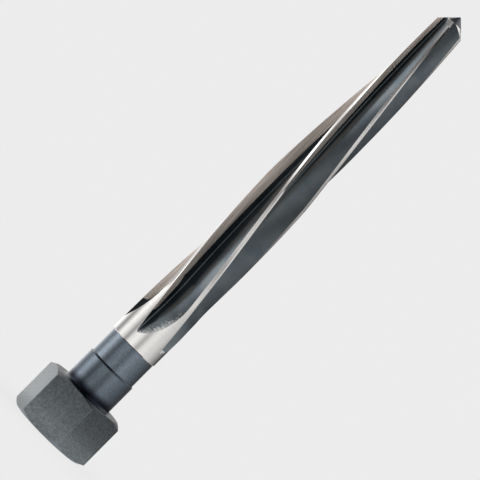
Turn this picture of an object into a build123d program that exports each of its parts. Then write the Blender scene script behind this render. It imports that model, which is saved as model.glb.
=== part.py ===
from build123d import *
import os
from math import asin, cos, degrees, pi, radians, sin, sqrt, tan

# Bridge reamer, driven by a hexagon head: one bar of tool steel in one solid.
# +Z runs along the axis from the flat end of the head (z = 0) to the point.
# The front flat of the hexagon looks along -Y. All lengths are millimetres.

# Hexagon drive head, chamfered by turning at both ends
hex_across_flats = 27.0
hex_length = 17.7
hex_chamfer_circle = 26.6
hex_chamfer_angle = 30.0

# Neck between the head and the ground body, in two steps
neck_diameter = 18.0
neck_length = 11.45
neck_fillet = 1.0
neck_end_chamfer = 0.55
waist_diameter = 17.1
waist_length = 9.25

# Ground body: a cylinder, then a slow taper, then the cone point
body_diameter = 17.8
body_edge_chamfer = 0.25
body_length = 68.0
taper_length = 72.0
taper_end_diameter = 10.8
point_included_angle = 90.0
point_flat_diameter = 0.4

# Five flutes on a left-hand helix, cutting with right-hand rotation
flute_count = 5
helix_lead = 392.0
first_edge_angle = 15.8
rake_angle = 3.6
root_radius_body = 3.55
root_radius_tip = 2.85
root_fillet = 0.4
back_crown = 0.25

# Lands left between the flutes: a narrow round margin and a relieved heel
land_width_start = 1.6
land_width_end = 1.18
land_narrowing_length = 47.5
margin_width = 0.4
heel_relief = 0.25

# Run-out, where the disc cutter rises out of the bar beside the ground band
cutter_radius = 41.5
full_depth_from_band = 24.8

# How far the cutting shapes reach past the bar, and the sections in a flute's loft
cut_clearance = 1.5
relief_overrun = 0.3
run_out_steps = 6
full_depth_steps = 12

# Places along the axis that follow from the lengths
neck_end = hex_length + neck_length
body_start = neck_end + waist_length
taper_start = body_start + body_length
taper_end = taper_start + taper_length
point_height = (taper_end_diameter - point_flat_diameter) / 2 / tan(radians(point_included_angle / 2))
overall_length = taper_end + point_height
full_depth_start = body_start + full_depth_from_band

# Offset of the rake face from the axis, which gives the rake at full diameter
body_radius = body_diameter / 2
rake_offset = body_radius * sin(radians(rake_angle))
pitch_angle = 360.0 / flute_count


def hexagon_head():
    """Hexagon prism whose corners are turned off at both ends."""
    corner_radius = hex_across_flats / 2 / cos(pi / 6)
    circle_radius = hex_chamfer_circle / 2
    slope = tan(radians(hex_chamfer_angle))
    reach = corner_radius + cut_clearance
    drop = (reach - circle_radius) * slope
    prism = extrude(RegularPolygon(hex_across_flats / 2, 6, major_radius=False), amount=hex_length)
    turned = Plane.XZ * Polygon(
        (0, 0),
        (circle_radius, 0),
        (reach, drop),
        (reach, hex_length - drop),
        (circle_radius, hex_length),
        (0, hex_length),
        align=None,
    )
    return prism & revolve(turned, Axis.Z)


def turned_bar():
    """Neck, waist, ground body, taper and point, turned as one profile."""
    neck_radius = neck_diameter / 2
    waist_radius = waist_diameter / 2
    foot = neck_radius + neck_fillet
    arc_middle = (1 - cos(pi / 4)) * neck_fillet
    outline = Polyline(
        (neck_radius, hex_length + neck_fillet),
        (neck_radius, neck_end - neck_end_chamfer),
        (waist_radius, neck_end),
        (waist_radius, body_start),
        (body_radius - body_edge_chamfer, body_start),
        (body_radius, body_start + body_edge_chamfer),
        (body_radius, taper_start),
        (taper_end_diameter / 2, taper_end),
        (point_flat_diameter / 2, overall_length),
        (0, overall_length),
        (0, hex_length / 2),
        (foot, hex_length / 2),
        (foot, hex_length),
    )
    throat = ThreePointArc(
        (foot, hex_length),
        (neck_radius + arc_middle, hex_length + arc_middle),
        (neck_radius, hex_length + neck_fillet),
    )
    profile = Plane.XZ * make_face([outline, throat])
    return revolve(profile, Axis.Z)


def bar_radius(z):
    """Radius of the lands at height z, with the taper carried on past the point."""
    slope = (body_radius - taper_end_diameter / 2) / taper_length
    return body_radius - max(0.0, z - taper_start) * slope


def root_radius(z):
    """Radius of the flute root's corner at height z, which falls along the taper."""
    slope = (root_radius_body - root_radius_tip) / taper_length
    return root_radius_body - max(0.0, z - taper_start) * slope


def land_width(z):
    """Width of a land at height z, wider beside the run-out."""
    share = min(1.0, max(0.0, (z - full_depth_start) / land_narrowing_length))
    return land_width_start - (land_width_start - land_width_end) * share


def cutter_lift(z):
    """How far the disc cutter stands above full depth at height z."""
    before = max(0.0, full_depth_start - z)
    return cutter_radius - sqrt(cutter_radius**2 - before**2)


def edge_angle(radius):
    """Angle of the rake face at a radius, measured from its edge at full diameter."""
    return radians(rake_angle) - asin(rake_offset / radius)


def polar(radius, angle):
    """Point in the flute's own section, with the full-diameter edge on its X axis."""
    return Vector(radius * cos(angle), radius * sin(angle))


def flute_section(z):
    """What the cutter removes at height z: rake face, root, back and heel relief."""
    land_radius = bar_radius(z)
    root = root_radius(z)
    edge = edge_angle(land_radius)
    rake_direction = Vector(cos(radians(rake_angle)), sin(radians(rake_angle)))
    next_edge = edge + radians(pitch_angle)

    corner = polar(root, edge_angle(root))
    heel_radius = land_radius - heel_relief
    heel = polar(heel_radius, next_edge - land_width(z) / land_radius)
    margin_start = polar(land_radius, next_edge - margin_width / land_radius)
    beyond_margin = margin_start + (margin_start - heel).normalized() * relief_overrun
    outside = body_radius + cut_clearance
    far_side = polar(outside, next_edge - margin_width / land_radius)
    near_side = corner + rake_direction * outside

    chord = heel - corner
    turn = degrees(4 * back_crown / chord.length)
    back_direction = chord.normalized().rotate(Axis.Z, -turn)
    opening = radians(rake_direction.get_angle(back_direction))
    tangent_length = root_fillet / tan(opening / 2)
    rake_foot = corner + rake_direction * tangent_length
    back_foot = corner + back_direction * tangent_length
    bisector = (rake_direction + back_direction).normalized()
    fillet_middle = corner + bisector * (root_fillet / sin(opening / 2) - root_fillet)
    across = (back_direction - rake_direction).normalized()

    rake = Line(near_side, rake_foot)
    rake_fillet = TangentArc(rake_foot, fillet_middle, tangent=-rake_direction)
    back_fillet = TangentArc(fillet_middle, back_foot, tangent=across)
    back = TangentArc(back_foot, heel, tangent=back_direction)
    relief = Line(heel, beyond_margin)
    riser = Line(beyond_margin, far_side)
    closing = Line(far_side, near_side)
    lift = rake_direction * cutter_lift(z)
    section = Wire([rake, rake_fillet, back_fillet, back, relief, riser, closing]).moved(Location(lift))
    turned_to = first_edge_angle - z * 360 / helix_lead
    return section.moved(Location((0, 0, z), (0, 0, 1), turned_to))


def flute_cutter():
    """Solid swept by the cutter along the helix, from the run-out past the point."""
    flute_depth = body_radius - root_radius_body
    run_out = sqrt(2 * cutter_radius * flute_depth - flute_depth**2)
    cutter_start = full_depth_start - run_out - cut_clearance
    cutter_end = overall_length + cut_clearance
    run_out_step = (full_depth_start - cutter_start) / run_out_steps
    full_depth_step = (cutter_end - full_depth_start) / full_depth_steps
    heights = [cutter_start + run_out_step * i for i in range(run_out_steps)]
    heights += [full_depth_start + full_depth_step * i for i in range(full_depth_steps + 1)]
    return Solid.make_loft([flute_section(z) for z in heights])


bar = hexagon_head() + turned_bar()
cutter = flute_cutter()
flutes = [cutter.rotate(Axis.Z, i * pitch_angle) for i in range(flute_count)]
reamer = bar.cut(*flutes)

os.makedirs("parts", exist_ok=True)
export_step(reamer, "parts/reamer.step")
print("overall length", round(overall_length, 2))
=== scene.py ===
import math

import bmesh
import bpy
from mathutils import Matrix, Vector


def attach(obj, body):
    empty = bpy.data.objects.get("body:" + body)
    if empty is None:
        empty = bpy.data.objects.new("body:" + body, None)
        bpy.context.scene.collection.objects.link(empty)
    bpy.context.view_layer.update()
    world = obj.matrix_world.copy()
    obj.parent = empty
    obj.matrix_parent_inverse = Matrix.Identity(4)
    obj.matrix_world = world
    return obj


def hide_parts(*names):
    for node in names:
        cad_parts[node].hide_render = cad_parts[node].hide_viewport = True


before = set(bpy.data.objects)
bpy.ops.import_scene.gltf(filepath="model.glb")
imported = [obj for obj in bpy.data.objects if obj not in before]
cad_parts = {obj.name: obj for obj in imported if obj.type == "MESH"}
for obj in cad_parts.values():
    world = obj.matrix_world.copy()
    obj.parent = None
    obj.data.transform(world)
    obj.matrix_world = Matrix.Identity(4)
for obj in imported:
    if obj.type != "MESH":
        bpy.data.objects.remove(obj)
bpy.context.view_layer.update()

# Hexagon drive head: machined from the same bar of tool steel as the rest, with its corners
# turned off at both ends. It is blackened, mottled and only faintly glossy. Painted shade: its flats
# are painted darker towards the neck, and the shoulder around the neck's foot is painted deep black,
# for the shade and dark reflection in the corner between head and neck. A 27 mm socket drives it.
head_flats = 27.0
head_sides = 6
head_length = 17.7
head_end_radius = 13.3
head_slope = math.tan(math.radians(30))
head_corner_break = 0.25
head_shade_paint_share = 0.4
head_steps = 144

# Material slots, numbered in the order in which the finishes are made below
blackened_head, blackened_neck, ground_band, ground_land = range(4)
blackened_flute, ground_rake, ground_point, deep_black = range(4, 8)

tool = bmesh.new()
bare_steel = tool.verts.layers.float.new("bare_steel")
painted_corner_shade = tool.verts.layers.float.new("painted_corner_shade")


def polar(radius, angle, z=0.0):
    """Point at a radius, an angle and a height about the tool's axis."""
    return Vector((radius * math.cos(angle), radius * math.sin(angle), z))


def first_ring(places, capped):
    """Closed row of points about the axis, from which rings of faces are extruded."""
    ring = bmesh.ops.create_circle(tool, cap_ends=capped, segments=len(places), radius=1)["verts"]
    ring.sort(key=lambda vert: math.atan2(vert.co.y, vert.co.x) % (2 * math.pi))
    for vert, place in zip(ring, places):
        vert.co = place
    return ring


def ring_edges(ring):
    """Edges between the neighbours of a closed row of points."""
    return [tool.edges.get(pair) for pair in zip(ring, ring[1:] + ring[:1])]


def next_ring(ring, places, slots):
    """Extrudes a closed row of points to new places, with one material slot for each new face."""
    made = bmesh.ops.extrude_edge_only(tool, edges=ring_edges(ring))["geom"]
    order = {vert: i for i, vert in enumerate(ring)}
    new = [None] * len(ring)
    for vert in (item for item in made if isinstance(item, bmesh.types.BMVert)):
        for edge in vert.link_edges:
            if edge.other_vert(vert) in order:
                new[order[edge.other_vert(vert)]] = vert
    for vert, place in zip(new, places):
        vert.co = place
    for edge, slot in zip(ring_edges(new), slots):
        face = edge.link_faces[0]
        face.material_index = slot
        face.smooth = True
    return new


def lay_shade_paint(ring, share):
    """Gives a row of points its share of painted shade."""
    for vert in ring:
        vert[painted_corner_shade] = share


def head_circle(z):
    """Points where the corner chamfer meets the flat end of the head at height z."""
    return [polar(head_end_radius, 2 * math.pi * i / head_steps, z) for i in range(head_steps)]


def head_hexagon(top):
    """Points where the flats meet the corner chamfer of one end of the head."""
    places = []
    for i in range(head_steps):
        angle = 360.0 * i / head_steps
        radius = head_flats / 2 / math.cos(math.radians(angle % 60 - 30))
        drop = (radius - head_end_radius) * head_slope
        places.append(polar(radius, math.radians(angle), head_length - drop if top else drop))
    return places


head_end = first_ring(head_circle(0.0), capped=True)
lower_edge = next_ring(head_end, head_hexagon(top=False), [blackened_neck] * head_steps)
upper_edge = next_ring(lower_edge, head_hexagon(top=True), [blackened_head] * head_steps)
# Painted shade: the shoulder at the neck's end of the head is deep black
next_ring(upper_edge, head_circle(head_length), [deep_black] * head_steps)
# Painted shade: the flats darken towards the neck
lay_shade_paint(upper_edge, head_shade_paint_share)
side_steps = head_steps // head_sides
corners = [tool.edges.get(pair) for pair in zip(lower_edge[::side_steps], upper_edge[::side_steps])]

# Neck: turned in two steps between the head and the ground body, and blackened like the head.
# A small fillet leads out of the head, and a chamfer steps down to the thinner waist that gives
# the grinding wheel room to run out. Painted shade: the corner beside the head and the step are
# painted dark, for the shade and dark reflection there, and the neck between them a little darker.
neck_radius = 9.0
neck_fillet = 1.0
neck_end = 29.15
neck_end_chamfer = 0.55
waist_radius = 8.55
waist_end = 38.4


def spread(low, high, steps):
    """Values from low to high in equal steps, with both ends."""
    return [low + (high - low) * i / steps for i in range(steps + 1)]


# Each row of a profile holds a radius, a height and the share of painted shade there
neck_profile = [
    (neck_radius + neck_fillet * (1 - math.sin(turn)), head_length + neck_fillet * (1 - math.cos(turn)), 1.0)
    for turn in spread(0.0, math.pi / 2, steps=4)
]
neck_profile += [
    (neck_radius, 19.5, 0.93),
    (neck_radius, 21.3, 0.25),
    (neck_radius, 28.45, 0.15),
    (neck_radius, neck_end - neck_end_chamfer, 0.85),
    (waist_radius, neck_end, 0.85),
    (waist_radius, 29.3, 0.0),
    (waist_radius, waist_end, 0.0),
]

# Fluted body: a ground guide band, then five flutes milled on a left-hand spiral with a disc
# cutter, which rises out of the bar beside the band. The lands and the outer part of each rake
# face are ground bright after blackening, and the body tapers down to a short cone point.
body_radius = 8.9
band_chamfer = 0.25
taper_start = 106.4
taper_end = 178.4
taper_end_radius = 5.4
point_end = 183.6
point_end_radius = 0.2
dark_point_start = 180.9
flute_count = 5
pitch = 2 * math.pi / flute_count
helix_lead = 392.0
first_edge = 15.8
rake = math.radians(3.6)
rake_offset = body_radius * math.sin(rake)
rake_way = Vector((math.cos(rake), math.sin(rake), 0))
rake_side = Vector((math.sin(rake), -math.cos(rake), 0))
full_depth_start = 63.2
cutter_radius = 41.5
root_radius = 3.55
root_radius_tip = 2.85
root_fillet = 0.4
back_crown = 0.25
heel_relief = 0.25
margin_width = 0.4
land_widths = [(full_depth_start, 1.6), (110.7, 1.18)]

# Ground strip of the rake face: each pair holds a height and the radius down to which it reaches.
# It begins on the run-out, and a notch narrows it just past the start of the full depth.
strip_start = 51.0
strip_inner_radii = [
    (51.8, 8.9), (51.9, 7.5), (53.0, 7.0), (57.8, 6.5), (62.4, 6.12), (64.0, 6.15), (65.5, 7.1),
    (66.6, 6.6), (70.0, 6.5), (82.8, 6.12), (101.0, 5.6), (111.0, 5.45), (136.0, 4.76), (156.0, 4.48),
    (171.0, 4.2), (178.0, 3.9), (190.0, 3.6),
]

# Bare steel: the black has gone from the blunt start of the first flute, which is the lower one
# in front, and has worn thin beside the heels of the other four flutes' run-outs
blunt_end = 44.4
blunt_share = 0.72
worn_end = 60.0
worn_fade = 8.0
worn_reach = 3.0
worn_share = 0.9

# Columns of points across one fifth of the section, and heights of the sections,
# which lie closest together where the flutes run out
strip_steps = 3
rake_steps = 4
root_steps = 6
back_steps = 14
relief_steps = 2
heel_steps = 14
margin_steps = 2
flute_steps = rake_steps + root_steps + back_steps
land_steps = relief_steps + heel_steps + margin_steps
run_out_heights = spread(42.6, 49.8, steps=24) + spread(50.1, 62.7, steps=21)
body_heights = spread(full_depth_start, taper_start, steps=32)
taper_heights = spread(taper_start, taper_end, steps=54)
point_heights = spread(taper_end, point_end, steps=26)

# How closely the places are found where a flute meets the bar's circle
search_steps = 24
halvings = 40
tolerance = 1e-6


def between(table, z):
    """Value at height z from a table of (height, value) pairs."""
    if z <= table[0][0]:
        return table[0][1]
    for (z0, v0), (z1, v1) in zip(table, table[1:]):
        if z <= z1:
            return v0 + (v1 - v0) * (z - z0) / (z1 - z0)
    return table[-1][1]


def on_rake(radius):
    """Point of the rake face at a radius."""
    return rake_way * math.sqrt(radius**2 - rake_offset**2) + rake_side * rake_offset


def line(start, end):
    """Straight line from start to end, as a function of 0 to 1."""
    return lambda t: start.lerp(end, t)


def arc(start, end, way):
    """Circular arc from start to end that leaves start along way, as a function of 0 to 1."""
    chord = end - start
    side = Vector((-way.y, way.x, 0))
    lean = chord.dot(side)
    radius = chord.length_squared / (2 * lean)
    centre = start + side * radius
    sweep = 2 * math.atan2(lean, chord.dot(way))
    return lambda t: centre + Matrix.Rotation(sweep * t, 3, "Z") @ (start - centre)


def crossing(path, low, high, radius):
    """Where a path passes through a circle about the axis, found by halving."""
    rises = path(high).length > path(low).length
    for _ in range(halvings):
        middle = (low + high) / 2
        if (path(middle).length > radius) == rises:
            high = middle
        else:
            low = middle
    return (low + high) / 2


def flute_section(z):
    """One flute at height z before its twist: bar radius, margin angle and five runs of points."""
    tapered = max(0.0, z - taper_start) / (taper_end - taper_start)
    land_radius = body_radius - tapered * (body_radius - taper_end_radius)
    sharpened = (z - taper_end) / (point_end - taper_end)
    bar_radius = min(land_radius, taper_end_radius - sharpened * (taper_end_radius - point_end_radius))
    corner = on_rake(root_radius - tapered * (root_radius - root_radius_tip))
    before = max(0.0, full_depth_start - z)
    lift = rake_way * (cutter_radius - math.sqrt(cutter_radius**2 - before**2))
    next_edge = rake - math.asin(rake_offset / land_radius) + pitch
    margin_angle = next_edge - margin_width / land_radius
    margin = polar(land_radius, margin_angle)
    heel = polar(land_radius - heel_relief, next_edge - between(land_widths, z) / land_radius)
    chord = heel - corner
    back_way = Matrix.Rotation(-4 * back_crown / chord.length, 3, "Z") @ chord.normalized()
    tangent = root_fillet / math.tan(rake_way.angle(back_way) / 2)
    foot = corner + rake_way * tangent + lift
    back_foot = corner + back_way * tangent + lift
    fillet = arc(foot, back_foot, -rake_way)
    back = arc(back_foot, heel + lift, back_way)
    relief = line(heel + lift, margin + lift)

    deepest = min(spread(0.0, 1.0, search_steps), key=lambda t: fillet(t).length)
    if fillet(deepest).length >= bar_radius:
        touch = [polar(bar_radius, math.atan2(fillet(deepest).y, fillet(deepest).x))]
        return bar_radius, margin_angle, [touch, touch, touch, touch, touch]

    if foot.length < bar_radius:
        split = max(min(bar_radius, between(strip_inner_radii, z)), foot.length)
        strip = [on_rake(radius) for radius in spread(bar_radius, split, strip_steps)]
        lower_rake = [line(strip[-1], foot)(t) for t in spread(0.0, 1.0, rake_steps)]
        root_in = 0.0
    else:
        root_in = crossing(fillet, 0.0, deepest, bar_radius)
        strip = lower_rake = [fillet(root_in)]

    root_out = 1.0 if back_foot.length < bar_radius else crossing(fillet, deepest, 1.0, bar_radius)
    bottom = [fillet(t) for t in spread(root_in, root_out, root_steps)]
    if back_foot.length >= bar_radius:
        side = slope = bottom[-1:]
    elif (heel + lift).length >= bar_radius:
        side = [back(t) for t in spread(0.0, crossing(back, 0.0, 1.0, bar_radius), back_steps)]
        slope = side[-1:]
    else:
        side = [back(t) for t in spread(0.0, 1.0, back_steps)]
        cut_off = (margin + lift).length > bar_radius + tolerance
        slope_end = crossing(relief, 0.0, 1.0, bar_radius) if cut_off else 1.0
        slope = [relief(t) for t in spread(0.0, slope_end, relief_steps)]
    return bar_radius, margin_angle, [strip, lower_rake, bottom, side, slope]


def body_ring(z):
    """All points of the section at height z with the helix twist, and their shares of bare steel."""
    bar_radius, margin_angle, runs = flute_section(z)
    points = []
    for run, steps in zip(runs, (strip_steps, rake_steps, root_steps, back_steps, relief_steps)):
        points += [run[min(i, len(run) - 1)] for i in range(steps)]
    edge = runs[0][0]
    heel = runs[-1][-1]
    heel_angle = math.atan2(heel.y, heel.x)
    margin_start = max(heel_angle, margin_angle)
    edge_angle = math.atan2(edge.y, edge.x) + pitch
    angles = spread(heel_angle, margin_start, heel_steps)[:-1]
    angles += spread(margin_start, edge_angle, margin_steps)[:-1]
    points += [polar(bar_radius, angle) for angle in angles]

    fade = worn_share * min(1.0, max(0.0, (worn_end - z) / worn_fade))
    worn = [max(0.0, 1 - (point - heel).length / worn_reach) * fade for point in points]
    blunt = [blunt_share if z < blunt_end else 0.0] * len(points)
    places = []
    for tooth in range(flute_count):
        twist = Matrix.Rotation(math.radians(first_edge - z * 360 / helix_lead) + tooth * pitch, 3, "Z")
        places += [twist @ point + Vector((0, 0, z)) for point in points]
    return places, blunt + worn * (flute_count - 1)


def body_slots(z):
    """Material slots across one fifth of the section at height z."""
    if z > dark_point_start:
        return [deep_black] * (strip_steps + flute_steps + land_steps)
    if z > taper_end:
        return [ground_rake] * strip_steps + [blackened_flute] * flute_steps + [ground_point] * land_steps
    strip = ground_rake if z > strip_start else blackened_flute
    land = [ground_land] * relief_steps + [ground_band] * (heel_steps + margin_steps)
    return [strip] * strip_steps + [blackened_flute] * flute_steps + land


# The neck and the band are turned with the flutes' own columns, so that one skin runs through
heights = run_out_heights + body_heights[:-1] + taper_heights[:-1] + point_heights
turns = [place.xy.normalized() for place in body_ring(heights[0])[0]]
band_profile = [
    (body_radius - band_chamfer, waist_end, 0.0),
    (body_radius, waist_end + band_chamfer, 0.0),
    (body_radius, 41.0, 0.0),
    (body_radius, 42.2, 0.0),
]


def turned_circle(radius, z):
    """Points of a level circle in line with the flutes' columns."""
    return [(turn * radius).to_3d() + Vector((0, 0, z)) for turn in turns]


# Painted shade: each row of the neck carries its share of painted shade
radius, z, share = neck_profile[0]
ring = first_ring(turned_circle(radius, z), capped=False)
lay_shade_paint(ring, share)
for profile, slot in ((neck_profile[1:], blackened_neck), (band_profile, ground_band)):
    for radius, z, share in profile:
        ring = next_ring(ring, turned_circle(radius, z), [slot] * len(turns))
        lay_shade_paint(ring, share)
for z in heights:
    places, shares = body_ring(z)
    ring = next_ring(ring, places, body_slots(z) * flute_count)
    for vert, share in zip(ring, shares):
        vert[bare_steel] = share
bmesh.ops.contextual_create(tool, geom=ring_edges(ring))

# Columns that a shallow flute leaves on one point are welded, the shoulder is closed between
# the head and the neck, and an edge is sharp where two finishes meet or the surface turns
weld_distance = 1e-4
sharp_angle = math.radians(28)
millimetre = 0.001
bmesh.ops.remove_doubles(tool, verts=tool.verts, dist=weld_distance)
shoulder = [edge for edge in tool.edges if edge.is_boundary]
for face in bmesh.ops.bridge_loops(tool, edges=shoulder)["faces"]:
    # Painted shade: the shoulder between head and neck is deep black
    face.material_index = deep_black
bmesh.ops.dissolve_degenerate(tool, edges=tool.edges, dist=weld_distance)
bmesh.ops.bevel(tool, geom=corners, offset=head_corner_break, segments=2,
                affect="EDGES", profile=0.5, material=-1)
bmesh.ops.recalc_face_normals(tool, faces=tool.faces)
for edge in tool.edges:
    slots = {face.material_index for face in edge.link_faces}
    edge.smooth = len(slots) == 1 and edge.calc_face_angle(0) < sharp_angle
bmesh.ops.scale(tool, vec=(millimetre, millimetre, millimetre), verts=tool.verts)


def feed(tree, socket, value):
    """Links a socket to another one, or sets it to a plain value."""
    if isinstance(value, bpy.types.NodeSocket):
        tree.links.new(value, socket)
    else:
        socket.default_value = value


def worked_out(tree, operation, *values):
    """Result of a Math node on sockets or plain numbers."""
    node = tree.nodes.new("ShaderNodeMath")
    node.operation = operation
    for socket, value in zip(node.inputs, values):
        feed(tree, socket, value)
    return node.outputs[0]


def stretched(tree, value, low, high):
    """Range from low to high of a value, stretched over 0 to 1."""
    node = tree.nodes.new("ShaderNodeMapRange")
    node.inputs["From Min"].default_value = low
    node.inputs["From Max"].default_value = high
    tree.links.new(value, node.inputs["Value"])
    return node.outputs["Result"]


def mixed(tree, factor, under, over):
    """One colour laid over another by a factor."""
    node = tree.nodes.new("ShaderNodeMix")
    node.data_type = "RGBA"
    feed(tree, node.inputs["Factor"], factor)
    feed(tree, node.inputs["A"], under)
    feed(tree, node.inputs["B"], over)
    return node.outputs["Result"]


def noise_mask(tree, place, fineness, detail, low, high):
    """Noise over a place, with its range from low to high stretched over 0 to 1."""
    node = tree.nodes.new("ShaderNodeTexNoise")
    node.inputs["Scale"].default_value = fineness
    node.inputs["Detail"].default_value = detail
    tree.links.new(place, node.inputs["Vector"])
    return stretched(tree, node.outputs["Fac"], low, high)


def new_effect(name, masks):
    """Node group that turns a place on the tool into masks, with its inlet and its outlet."""
    group = bpy.data.node_groups.new(name, "ShaderNodeTree")
    group.interface.new_socket(name="Vector", in_out="INPUT", socket_type="NodeSocketVector")
    for label in masks:
        group.interface.new_socket(name=label, in_out="OUTPUT", socket_type="NodeSocketFloat")
    return group, group.nodes.new("NodeGroupInput").outputs["Vector"], group.nodes.new("NodeGroupOutput")


# Oxide mottle: cloudy patches a few millimetres wide, and a fine grain
mottle, place, leave = new_effect("oxide_mottle", ("Patches", "Grain"))
patches = noise_mask(mottle, place, fineness=170, detail=2, low=0.36, high=0.64)
grain = noise_mask(mottle, place, fineness=1600, detail=3, low=0.3, high=0.7)
mottle.links.new(patches, leave.inputs["Patches"])
mottle.links.new(grain, leave.inputs["Grain"])

# Machined lines: some run round the bar and some run along the teeth
drawn_out = 0.03
machined, place, leave = new_effect("machined_lines", ("Around", "Along"))
parts = machined.nodes.new("ShaderNodeSeparateXYZ")
level = machined.nodes.new("ShaderNodeCombineXYZ")
reach = machined.nodes.new("ShaderNodeVectorMath")
reach.operation = "LENGTH"
machined.links.new(place, parts.inputs[0])
machined.links.new(parts.outputs["X"], level.inputs["X"])
machined.links.new(parts.outputs["Y"], level.inputs["Y"])
machined.links.new(level.outputs[0], reach.inputs[0])
for label, across, along in (("Around", parts.outputs["Z"], reach.outputs["Value"]),
                             ("Along", reach.outputs["Value"], parts.outputs["Z"])):
    pair = machined.nodes.new("ShaderNodeCombineXYZ")
    machined.links.new(across, pair.inputs["X"])
    machined.links.new(worked_out(machined, "MULTIPLY", along, drawn_out), pair.inputs["Y"])
    lines = noise_mask(machined, pair.outputs[0], fineness=2400, detail=2, low=0.3, high=0.7)
    machined.links.new(lines, leave.inputs[label])

# Finishes: black oxide or ground steel in two colours, with painted shade (dark colour for shade
# and dark reflection) over them where the points carry it, and fine relief. The flutes also show
# bare steel, broken up by the grain.
shade_paint_color = (0.01, 0.012, 0.018, 1)
bare_color = (0.52, 0.52, 0.52, 1)
bare_strength = 1.6
relief_depth = 0.00005
quarter_turn = 0.25


def point_share(tree, layer):
    """Share of painted shade or bare steel that the points carry."""
    node = tree.nodes.new("ShaderNodeAttribute")
    node.attribute_name = layer
    return node.outputs["Fac"]


def new_finish(name, color, other, mixed_by, roughness, relief, strength,
               metallic=1.0, brushed=0.0, worn=False):
    """Steel finish: two colours mixed by one effect, and fine relief from another."""
    finish = bpy.data.materials.new(name)
    finish.use_nodes = True
    tree = finish.node_tree
    shader = tree.nodes["Principled BSDF"]
    shader.inputs["Metallic"].default_value = metallic
    shader.inputs["Roughness"].default_value = roughness
    if brushed:
        round_bar = tree.nodes.new("ShaderNodeTangent")
        round_bar.direction_type = "RADIAL"
        round_bar.axis = "Z"
        tree.links.new(round_bar.outputs[0], shader.inputs["Tangent"])
        shader.inputs["Anisotropic"].default_value = brushed
        shader.inputs["Anisotropic Rotation"].default_value = quarter_turn
    place = tree.nodes.new("ShaderNodeTexCoord").outputs["Object"]
    effects = {}
    for group in (mottle, machined):
        node = tree.nodes.new("ShaderNodeGroup")
        node.node_tree = group
        tree.links.new(place, node.inputs["Vector"])
        effects.update({socket.name: socket for socket in node.outputs})
    surface = mixed(tree, effects[mixed_by], (*color, 1), (*other, 1))
    # Painted shade: dark colour over the finish where the points carry it
    surface = mixed(tree, point_share(tree, "painted_corner_shade"), surface, shade_paint_color)
    if worn:
        share = point_share(tree, "bare_steel")
        broken = worked_out(tree, "MULTIPLY_ADD", share, bare_strength, effects["Grain"])
        surface = mixed(tree, stretched(tree, broken, 1.0, 2.0), surface, bare_color)
    tree.links.new(surface, shader.inputs["Base Color"])
    bump = tree.nodes.new("ShaderNodeBump")
    bump.inputs["Strength"].default_value = strength
    bump.inputs["Distance"].default_value = relief_depth
    tree.links.new(effects[relief], bump.inputs["Height"])
    tree.links.new(bump.outputs[0], shader.inputs["Normal"])
    return finish


finishes = [
    new_finish("blackened_head", (0.14, 0.16, 0.172), (0.252, 0.275, 0.28), "Grain", 0.3, "Grain", 0.4),
    new_finish("blackened_neck", (0.137, 0.167, 0.2), (0.186, 0.22, 0.256), "Grain", 0.22, "Around", 0.1,
               brushed=0.3),
    new_finish("ground_band", (0.65, 0.635, 0.62), (0.62, 0.605, 0.59), "Around", 0.12, "Around", 0.03,
               brushed=0.3),
    new_finish("ground_land", (0.67, 0.655, 0.635), (0.61, 0.595, 0.575), "Around", 0.2, "Around", 0.05,
               brushed=0.3),
    new_finish("blackened_flute", (0.086, 0.104, 0.117), (0.112, 0.128, 0.136), "Patches", 0.25, "Around",
               0.04, worn=True),
    new_finish("ground_rake", (0.57, 0.47, 0.41), (1.0, 0.9, 0.81), "Along", 0.45, "Along", 0.3,
               metallic=0.8),
    new_finish("ground_point", (0.48, 0.47, 0.455), (0.4, 0.39, 0.385), "Grain", 0.3, "Grain", 0.1),
    new_finish("deep_black", (0.04, 0.043, 0.05), (0.055, 0.058, 0.062), "Grain", 0.25, "Grain", 0.1),
]
mesh = bpy.data.meshes.new("reamer_body")
tool.to_mesh(mesh)
tool.free()
for finish in finishes:
    mesh.materials.append(finish)
piece = bpy.data.objects.new("reamer_body", mesh)
bpy.context.scene.collection.objects.link(piece)
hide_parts("reamer")
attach(piece, "root")

# Floor: a small round sheet as light as the empty ground of a product photograph. It lies a hair
# below the head's end, keeps a soft shadow where the head stands, and is seen from above only.
floor_radius = 0.05
floor_steps = 96
floor_drop = 0.00002
floor_glow = 0.9
pale_ground = (0.84, 0.84, 0.84, 1)


def mixed_shaders(tree, factor, first, second):
    """Two shaders mixed by a factor."""
    node = tree.nodes.new("ShaderNodeMixShader")
    for socket, source in zip(node.inputs, (factor, first, second)):
        tree.links.new(source, socket)
    return node.outputs[0]


floor_mesh = bpy.data.meshes.new("floor")
sheet = bmesh.new()
bmesh.ops.create_circle(sheet, cap_ends=True, segments=floor_steps, radius=floor_radius)
bmesh.ops.translate(sheet, vec=(0, 0, -floor_drop), verts=sheet.verts)
sheet.to_mesh(floor_mesh)
sheet.free()
floor = bpy.data.objects.new("floor", floor_mesh)
bpy.context.scene.collection.objects.link(floor)
paper = bpy.data.materials.new("pale_paper")
paper.use_nodes = True
tree = paper.node_tree
tree.nodes.clear()
ways = tree.nodes.new("ShaderNodeLightPath")
lit = tree.nodes.new("ShaderNodeBsdfDiffuse")
lit.inputs["Color"].default_value = pale_ground
glow = tree.nodes.new("ShaderNodeEmission")
glow.inputs["Color"].default_value = pale_ground
clear = tree.nodes.new("ShaderNodeBsdfTransparent")
seen = worked_out(tree, "MAXIMUM", ways.outputs["Is Camera Ray"], ways.outputs["Is Glossy Ray"])
glowing = worked_out(tree, "MULTIPLY", seen, floor_glow)
from_above = mixed_shaders(tree, glowing, lit.outputs[0], glow.outputs[0])
underside = tree.nodes.new("ShaderNodeNewGeometry").outputs["Backfacing"]
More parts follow.
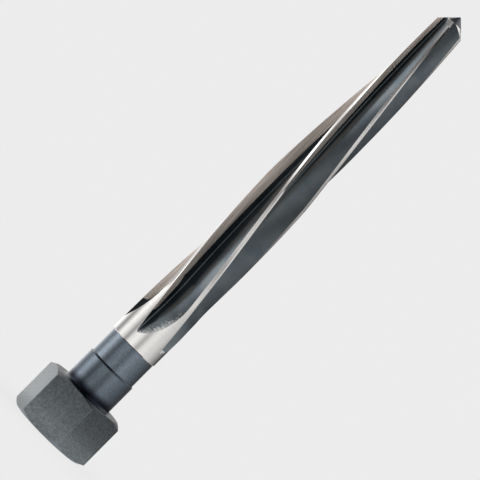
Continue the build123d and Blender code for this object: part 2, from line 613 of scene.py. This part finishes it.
one_sided = mixed_shaders(tree, underside, from_above, clear.outputs[0])
tree.links.new(one_sided, tree.nodes.new("ShaderNodeOutputMaterial").inputs["Surface"])
floor_mesh.materials.append(paper)

# Light: a pale tent of seven rings with darker joints and a few brighter panels, which the
# ground steel mirrors. The camera itself sees the plain pale ground. A ring holds the sine of
# its height over the horizon, and pairs of degrees round from the camera's side and a level.
view_angle = math.radians(-76.8)
tent = [
    (-0.15, [(-180, 0.6), (-150, 0.4), (-120, 0.1), (-90, 0.1), (-60, 0.5), (-30, 0.8), (0, 0.1), (30, 0.3),
             (60, 0.0), (90, 3.2), (120, 1.0), (150, 1.4)]),
    (-0.06, [(-150, 0.03), (-144, 0.06), (-115, 0.52), (-95, 0.87), (-79, 1.2), (-50, 1.37), (-37, 1.37),
             (-24, 1.1), (-18, 0.75), (-12, 0.6), (-6, 0.68), (0, 1.1), (8, 1.5), (20, 1.75), (37, 1.5),
             (45, 0.78), (51, 0.6), (62, 1.15), (80, 1.05), (98, 0.5), (112, 0.2), (125, 0.7), (144, 1.5),
             (165, 1.6), (179, 1.3)]),
    (0.02, [(-180, 0.4), (-156, 0.0), (-84, 0.0), (-60, 0.1), (-36, 1.0), (-12, 1.2), (12, 1.2), (36, 0.1),
            (60, 0.6), (84, 3.3), (108, 1.0), (132, 1.2), (156, 1.3)]),
    (0.07, [(-180, 0.4), (-144, 0.0), (-84, 0.5), (-60, 0.6), (-36, 0.9), (-18, 0.4), (-6, 0.0), (20, 0.0),
            (40, 0.1), (60, 0.6), (84, 3.4), (108, 1.1), (132, 1.3), (156, 1.3)]),
    (0.15, [(-180, 0.6), (-132, 0.0), (-108, 0.5), (-84, 1.0), (-60, 1.0), (-36, 1.0), (-20, 0.3), (-8, 0.0),
            (14, 0.0), (36, 0.1), (72, 0.6), (84, 3.8), (108, 1.6), (132, 1.5), (156, 1.4)]),
    (0.42, [(-180, 0.4), (-144, 0.3), (-108, 1.4), (-72, 1.2), (-36, 0.9), (0, 0.0), (36, 0.8), (72, 1.8),
            (108, 4.0), (144, 2.4)]),
    (0.7, [(-180, 0.2), (-160, 0.8), (-135, 2.3), (-90, 1.6), (-45, 1.2), (0, 0.1), (45, 0.2), (90, 0.4),
           (135, 0.2), (158, 1.6)]),
]


def round_place(turn):
    """Place on a ring, from 0 to 1, of a turn in degrees from the camera's side."""
    return ((view_angle - math.radians(turn)) / (2 * math.pi) + 0.5) % 1.0


def tent_ring(tree, around, levels):
    """Light of one ring of the tent, with the same level at both ends of its ramp."""
    stops = sorted((round_place(turn), level) for turn, level in levels)
    first, last = stops[0], stops[-1]
    joint = first[1] + (last[1] - first[1]) * first[0] / (first[0] + 1 - last[0])
    stops = [(0.0, joint)] + stops + [(1.0, joint)]
    ramp = tree.nodes.new("ShaderNodeValToRGB")
    tree.links.new(around, ramp.inputs[0])
    while len(ramp.color_ramp.elements) < len(stops):
        ramp.color_ramp.elements.new(1.0)
    for element, (position, level) in zip(ramp.color_ramp.elements, stops):
        element.position = position
        element.color = (level, level, level, 1)
    return ramp.outputs["Color"]


world = bpy.data.worlds.new("studio")
bpy.context.scene.world = world
world.use_nodes = True
tree = world.node_tree
tree.nodes.clear()
place = tree.nodes.new("ShaderNodeTexCoord")
parts = tree.nodes.new("ShaderNodeSeparateXYZ")
tree.links.new(place.outputs["Generated"], parts.inputs[0])
angle = worked_out(tree, "ARCTAN2", parts.outputs["Y"], parts.outputs["X"])
around = stretched(tree, angle, -math.pi, math.pi)
rings = [(height, tent_ring(tree, around, levels)) for height, levels in tent]
below, light = rings[0]
for height, ring_light in rings[1:]:
    rise = stretched(tree, parts.outputs["Z"], below, height)
    light = mixed(tree, rise, light, ring_light)
    below = height
ways = tree.nodes.new("ShaderNodeLightPath")
tent_light = tree.nodes.new("ShaderNodeBackground")
tree.links.new(light, tent_light.inputs["Color"])
plain_light = tree.nodes.new("ShaderNodeBackground")
plain_light.inputs["Color"].default_value = pale_ground
studio = mixed_shaders(tree, ways.outputs["Is Camera Ray"], tent_light.outputs[0], plain_light.outputs[0])
tree.links.new(studio, tree.nodes.new("ShaderNodeOutputWorld").inputs["Surface"])

# Camera: level with the middle of the tool and rolled, so that the tool crosses the frame
camera_rise = math.radians(0.4)
camera_roll = math.radians(45.19)
camera_distance = 0.9
middle_height = 0.0856
middle_shift = 0.000075
pixels_per_metre = 3193
frame_pixels = 480
sensor_width = 36
toward = Vector((math.cos(view_angle), math.sin(view_angle), 0))
axis = Vector((0, 0, 1))
across = toward.cross(axis)
back = toward * math.cos(camera_rise) + axis * math.sin(camera_rise)
along = axis * math.cos(camera_rise) - toward * math.sin(camera_rise)
right = along * math.cos(camera_roll) - across * math.sin(camera_roll)
up = along * math.sin(camera_roll) + across * math.cos(camera_roll)
camera_data = bpy.data.cameras.new("camera")
camera_data.sensor_width = sensor_width
camera_data.lens = pixels_per_metre * camera_distance * sensor_width / frame_pixels
camera = bpy.data.objects.new("camera", camera_data)
bpy.context.scene.collection.objects.link(camera)
camera.matrix_world = Matrix((
    (right.x, up.x, back.x, 0),
    (right.y, up.y, back.y, 0),
    (right.z, up.z, back.z, 0),
    (0, 0, 0, 1),
))
camera.location = axis * middle_height - across * middle_shift + back * camera_distance
bpy.context.scene.camera = camera
bpy.context.scene.view_settings.view_transform = "Standard"
